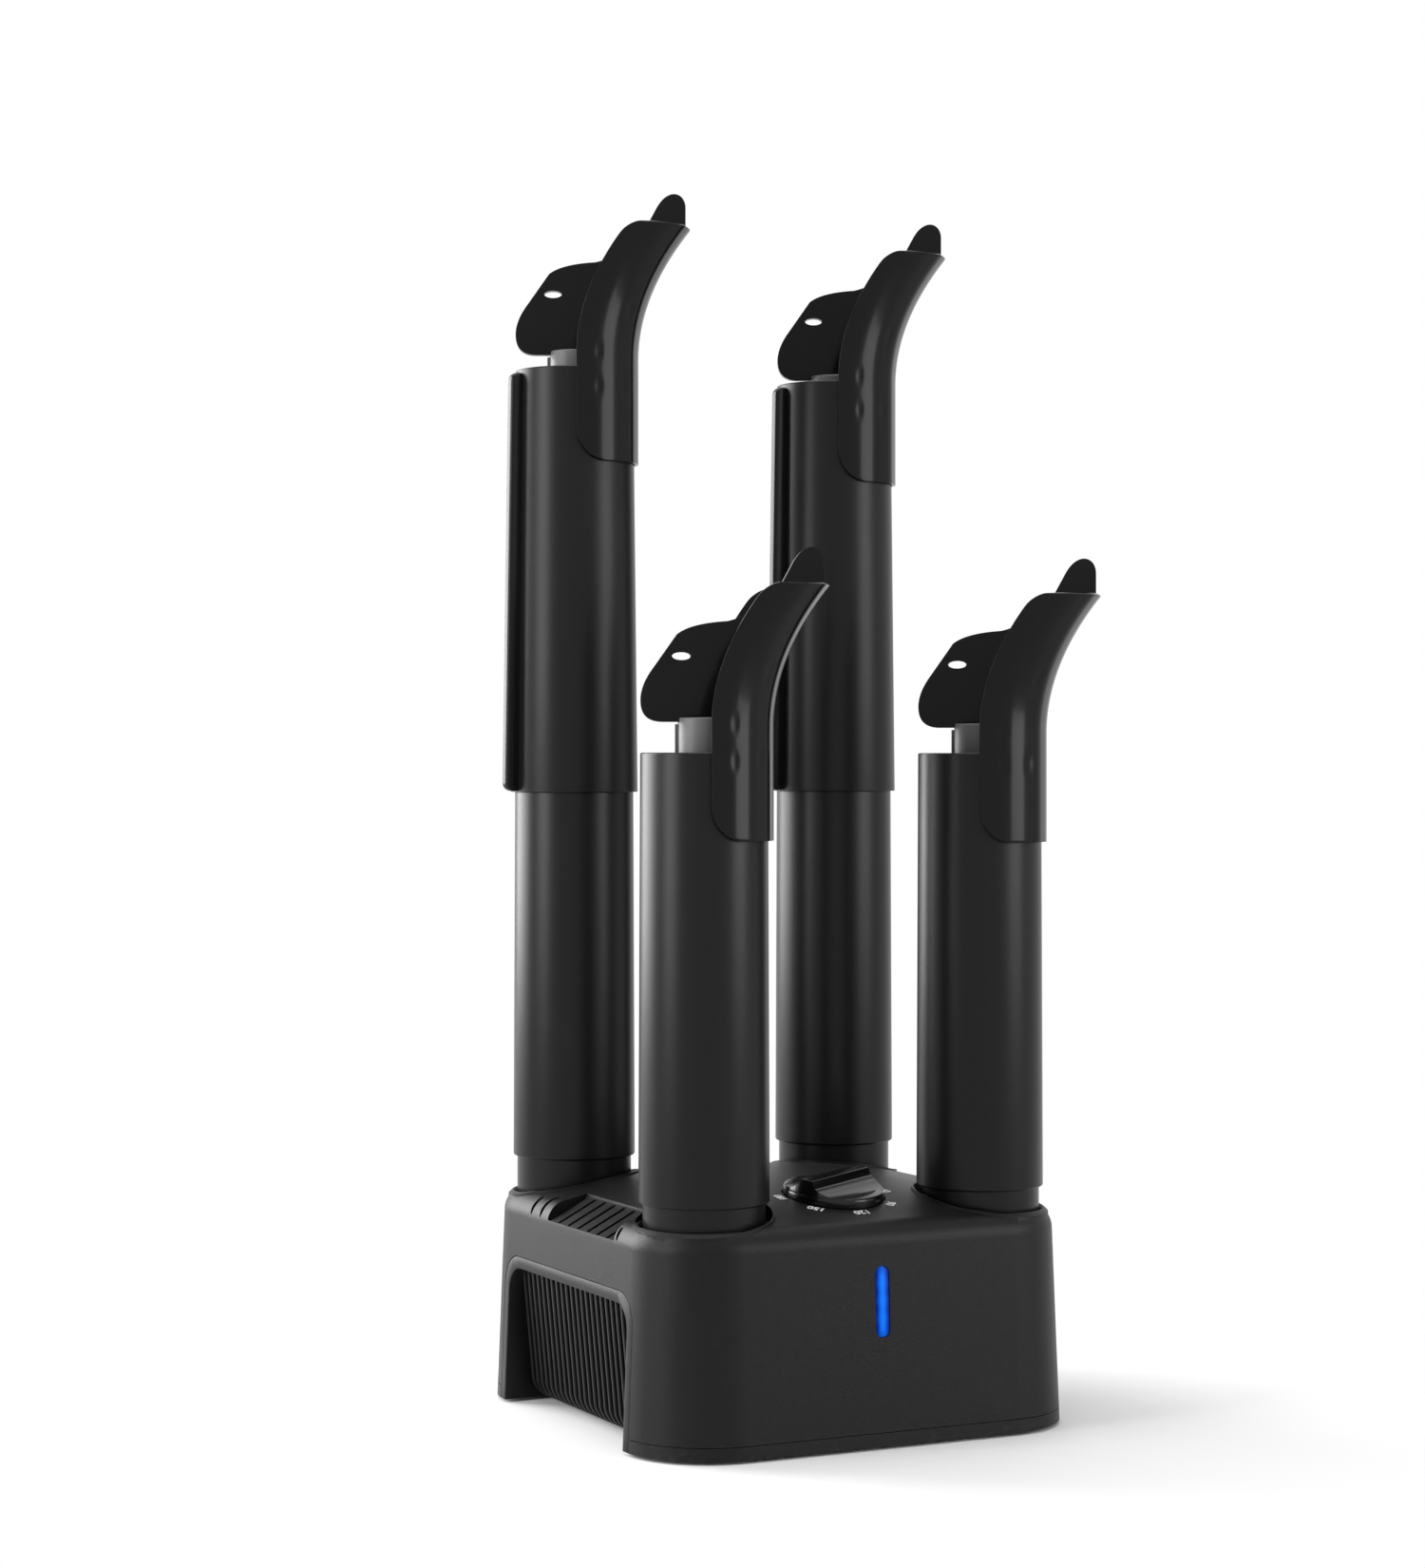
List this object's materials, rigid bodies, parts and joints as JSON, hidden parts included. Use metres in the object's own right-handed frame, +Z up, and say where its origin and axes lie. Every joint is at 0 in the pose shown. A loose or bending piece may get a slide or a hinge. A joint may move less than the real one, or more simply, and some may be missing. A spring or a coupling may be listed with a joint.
{
  "type": "boot dryer",
  "caption": "Upright forced-air boot and glove dryer: a crowned black case with side intakes, dial timer and light bar, and air tubes of two heights with turning, sliding boot heads.",
  "frame": {"origin": "centre of the base tray's flat underside; the rubber feet reach 1.5 mm below it", "axes": "+Z up along the tubes, -Y out of the front with the light bar and dial, +X across to the right; the boot heads rest with their toe side about 25 degrees from +X towards the front"},
  "size_m": [0.2405, 0.2324, 0.5945],
  "materials": {
    "case_black": "fine-textured moulded black plastic",
    "tube_black": "satin black plastic",
    "head_black": "glossy black plastic",
    "knob_black": "glossy black plastic",
    "light_blue": "clear blue plastic, lit from behind",
    "inner_grey": "plain dark grey moulded plastic",
    "nylon_white": "plain white nylon",
    "board_green": "green circuit board",
    "mica": "heat-proof board",
    "heater_alloy": "plain pressed aluminium",
    "steel": "plated steel",
    "rubber_black": "dull black rubber"
  },
  "bodies": {
    "case": {"top_housing": "case_black", "base_tray": "case_black", "side_grille_left": "case_black", "side_grille_right": "case_black", "light_pipe": "light_blue", "light_board": "board_green", "timer_body": "nylon_white", "fan_frame": "inner_grey", "fan_motor": "steel", "heater_frame": "mica", "heater_element": "heater_alloy", "thermal_cutout": "steel", "air_manifold": "inner_grey", "cord_gland": "rubber_black", "foot_front_left": "rubber_black", "foot_front_right": "rubber_black", "foot_rear_left": "rubber_black", "foot_rear_right": "rubber_black", "case_screw_front_left": "steel", "case_screw_front_right": "steel", "case_screw_rear_left": "steel", "case_screw_rear_right": "steel"},
    "timer_dial": {"timer_knob": "knob_black", "timer_shaft": "nylon_white"},
    "impeller": {"fan_impeller": "inner_grey"},
    "front_left_tube": {"front_left_tube": "tube_black"},
    "front_left_insert": {"front_left_insert": "tube_black"},
    "front_left_head": {"front_left_head_core": "head_black", "front_left_head_shell": "head_black"},
    "front_right_tube": {"front_right_tube": "tube_black"},
    "front_right_insert": {"front_right_insert": "tube_black"},
    "front_right_head": {"front_right_head_core": "head_black", "front_right_head_shell": "head_black"},
    "rear_left_tube": {"rear_left_tube": "tube_black"},
    "rear_left_extension": {"rear_left_extension": "tube_black"},
    "rear_left_insert": {"rear_left_insert": "tube_black"},
    "rear_left_head": {"rear_left_head_core": "head_black", "rear_left_head_shell": "head_black"},
    "rear_right_tube": {"rear_right_tube": "tube_black"},
    "rear_right_extension": {"rear_right_extension": "tube_black"},
    "rear_right_insert": {"rear_right_insert": "tube_black"},
    "rear_right_head": {"rear_right_head_core": "head_black", "rear_right_head_shell": "head_black"}
  },
  "joints": [
    {"name": "timer_turn", "type": "hinge", "parent": "case", "child": "timer_dial", "pos_m": [0, -0.062, 0.1091], "axis": [0, -0.1392, 0.9903], "range_deg": [-25, 245]},
    {"name": "impeller_spin", "type": "hinge", "parent": "case", "child": "impeller", "pos_m": [0, 0, 0.03], "axis": [0, 0, 1], "continuous": true},
    {"name": "front_left_tube_lift", "type": "slide", "parent": "case", "child": "front_left_tube", "axis": [0, 0, 1], "range_m": [0, 0.024]},
    {"name": "front_left_head_turn", "type": "hinge", "parent": "front_left_tube", "child": "front_left_insert", "pos_m": [-0.073, -0.073, 0.316], "axis": [0, 0, 1], "continuous": true},
    {"name": "front_left_head_slide", "type": "slide", "parent": "front_left_insert", "child": "front_left_head", "axis": [0, 0, 1], "range_m": [-0.012, 0.018]},
    {"name": "front_right_tube_lift", "type": "slide", "parent": "case", "child": "front_right_tube", "axis": [0, 0, 1], "range_m": [0, 0.024]},
    {"name": "front_right_head_turn", "type": "hinge", "parent": "front_right_tube", "child": "front_right_insert", "pos_m": [0.073, -0.073, 0.316], "axis": [0, 0, 1], "continuous": true},
    {"name": "front_right_head_slide", "type": "slide", "parent": "front_right_insert", "child": "front_right_head", "axis": [0, 0, 1], "range_m": [-0.01, 0.02]},
    {"name": "rear_left_tube_lift", "type": "slide", "parent": "case", "child": "rear_left_tube", "axis": [0, 0, 1], "range_m": [0, 0.024]},
    {"name": "rear_left_extension_lift", "type": "slide", "parent": "rear_left_tube", "child": "rear_left_extension", "axis": [0, 0, 1], "range_m": [0, 0.019]},
    {"name": "rear_left_head_turn", "type": "hinge", "parent": "rear_left_extension", "child": "rear_left_insert", "pos_m": [-0.073, 0.073, 0.505], "axis": [0, 0, 1], "range_deg": [-58, 106]},
    {"name": "rear_left_head_slide", "type": "slide", "parent": "rear_left_insert", "child": "rear_left_head", "axis": [0, 0, 1], "range_m": [-0.006, 0.024]},
    {"name": "rear_right_tube_lift", "type": "slide", "parent": "case", "child": "rear_right_tube", "axis": [0, 0, 1], "range_m": [0, 0.024]},
    {"name": "rear_right_extension_lift", "type": "slide", "parent": "rear_right_tube", "child": "rear_right_extension", "axis": [0, 0, 1], "range_m": [0, 0.019]},
    {"name": "rear_right_head_turn", "type": "hinge", "parent": "rear_right_extension", "child": "rear_right_insert", "pos_m": [0.073, 0.073, 0.505], "axis": [0, 0, 1], "range_deg": [-56, 108]},
    {"name": "rear_right_head_slide", "type": "slide", "parent": "rear_right_insert", "child": "rear_right_head", "axis": [0, 0, 1], "range_m": [-0.001, 0.029]}
  ]
}
